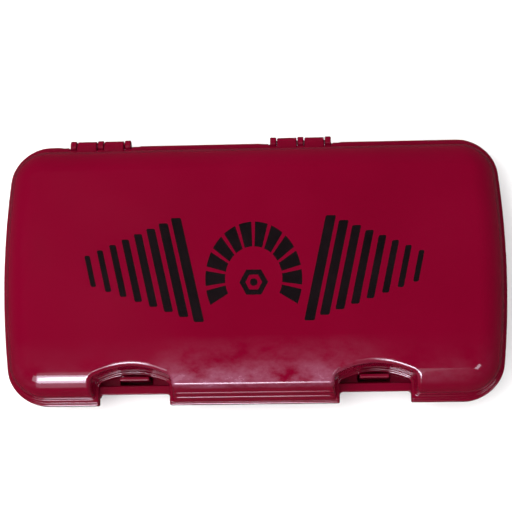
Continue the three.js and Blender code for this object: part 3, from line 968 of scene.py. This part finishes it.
def add_camera():
    """A camera that looks steeply down from the front and is rolled a little."""
    roll = math.radians(CAMERA_ROLL)
    back = direction(CAMERA_AZIMUTH, CAMERA_ELEVATION)
    right = (-back).cross(Vector((0, 0, 1))).normalized()
    up = right.cross(-back)
    side = right * math.cos(roll) + up * math.sin(roll)
    rise = up * math.cos(roll) - right * math.sin(roll)
    turn = Matrix((side, rise, back)).transposed().to_4x4()
    data = bpy.data.cameras.new("camera")
    data.lens = CAMERA_LENS
    camera = bpy.data.objects.new("camera", data)
    camera.matrix_world = Matrix.Translation(Vector(CAMERA_TARGET) + back * CAMERA_DISTANCE) @ turn
    bpy.context.scene.collection.objects.link(camera)
    bpy.context.scene.camera = camera


def add_area(name, azimuth, elevation, distance, size, power):
    """A soft box that faces the case from a direction given in degrees."""
    back = direction(azimuth, elevation)
    data = bpy.data.lights.new(name, "AREA")
    data.shape = "RECTANGLE"
    data.size, data.size_y = size
    data.energy = power
    lamp = bpy.data.objects.new(name, data)
    lamp.location = back * distance
    lamp.rotation_euler = back.to_track_quat("Z", "Y").to_euler()
    bpy.context.scene.collection.objects.link(lamp)
    return lamp


# Name, azimuth, elevation, distance, size and power of each soft box.
FILLS = (
    ("ceiling", 0, 90, 0.8, (2.6, 2.6), 20),
    ("front_fill", 0, 35, 0.9, (1.4, 0.7), 5.5),
    ("rear_fill", 180, 35, 0.9, (1.4, 0.7), 5),
    ("left_fill", -90, 60, 0.5, (0.4, 0.4), 2.6),
)
PANELS = (
    ("front_core", -12, 49, 0.9, (0.24, 0.22), 4.2),
    ("front_panel", -12, 48, 0.9, (0.34, 0.5), 5.5),
    ("front_glow", -12, 44, 0.95, (0.44, 1.2), 2.6),
    ("left_panel", -24, 45, 0.9, (0.4, 0.4), 2),
    ("right_panel", 56, 58, 0.9, (0.2, 0.2), 1),
)
PANEL_COLOUR = (0.86, 0.84, 1)


def add_lights():
    """Fills light surfaces and are never mirrored. Panels are only mirrored, as highlights."""
    for fill in FILLS:
        add_area(*fill).visible_glossy = False
    for panel in PANELS:
        lamp = add_area(*panel)
        lamp.visible_diffuse = False
        lamp.data.color = PANEL_COLOUR


FLOOR_HALF = 4
FLOOR_DROP = 0.0001


def paper():
    """Plain pale paper."""
    n = Nodes("paper_floor")
    n.set(n.shader, "Base Color", n.ramp(n.noise(3, 2), [(0.3, 0.86), (0.7, 0.88)]))
    n.plain(Roughness=0.9)
    return n.material


def add_floor():
    """A pale sheet just under the case, left out of reflections."""
    mesh = bpy.data.meshes.new("floor")
    corners = [(x * FLOOR_HALF, y * FLOOR_HALF, 0) for x, y in ((-1, -1), (1, -1), (1, 1), (-1, 1))]
    mesh.from_pydata(corners, [], [(0, 1, 2, 3)])
    floor = bpy.data.objects.new("floor", mesh)
    floor.location.z = -FLOOR_DROP
    floor.data.materials.append(paper())
    floor.visible_glossy = False
    bpy.context.scene.collection.objects.link(floor)


HORIZON = (0.1, 0.05)
ZENITH = (0.7, 0.012)


def add_world():
    """A dim studio: a little light from the sides and next to none from straight above."""
    world = bpy.data.worlds.new("studio")
    world.use_nodes = True
    tree = world.node_tree
    coordinate = tree.nodes.new("ShaderNodeTexCoord")
    split = tree.nodes.new("ShaderNodeSeparateXYZ")
    ramp = tree.nodes.new("ShaderNodeValToRGB")
    for element, (height, level) in zip(ramp.color_ramp.elements, (HORIZON, ZENITH)):
        element.position = height
        element.color = (level, level, level, 1)
    tree.links.new(coordinate.outputs["Generated"], split.inputs[0])
    tree.links.new(split.outputs["Z"], ramp.inputs["Fac"])
    tree.links.new(ramp.outputs["Color"], tree.nodes["Background"].inputs["Color"])
    tree.nodes["Background"].inputs["Strength"].default_value = 1
    bpy.context.scene.world = world


# ---- The scene -------------------------------------------------------------------------------

bpy.context.scene.view_settings.view_transform = "Standard"
add_camera()
add_world()
add_floor()
add_lights()

glossy = crimson_plastic("crimson_glossy", gloss=0.055, shine=0.5, with_wear_and_haze=True)
satin = crimson_plastic("crimson_satin", gloss=0.13, shine=0.25)
steel = pin_steel()
lid_piece = surface("lid_shell", lid_field, (SHELL_X, SHELL_Y, LID_Z))
finish_piece(lid_piece, glossy, "case_lid")
base_piece = surface("base_shell", base_field, (SHELL_X, SHELL_Y, BASE_Z))
finish_piece(base_piece, satin, "case_base")
for side in ("left", "right"):
    finish_piece(hinge_pin(side), steel, f"hinge_pin_{side}")
    finish_piece(latch_tongue(side), satin, f"latch_tongue_{side}")

black = rubber("guard_black", (0.006, 0.006, 0.007), (0.012, 0.012, 0.013), roughness=0.42)
milky = rubber("guard_milky", (0.4, 0.41, 0.415), (0.47, 0.475, 0.48), roughness=0.36)
red = rubber("guard_red", (0.20, 0.004, 0.02), (0.26, 0.007, 0.03), roughness=0.5)
frame_piece = surface("guard_frame", frame_field, guard_grid("mouthguard_frame", GUARD_CELL))
finish_piece(frame_piece, black, "mouthguard_frame")
liner_piece = surface("guard_liner", liner_field, guard_grid("mouthguard_liner", GUARD_CELL))
finish_piece(liner_piece, milky, "mouthguard_liner")
for side in ("left", "right"):
    node = f"bite_pad_{side}"
    pad_piece = surface(f"pad_{side}", pad_field(side), guard_grid(node, PAD_CELL))
    finish_piece(pad_piece, red, node)

ink = black_ink()
for piece in emblem():
    piece.data.materials.append(ink)
    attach(piece, "lid")
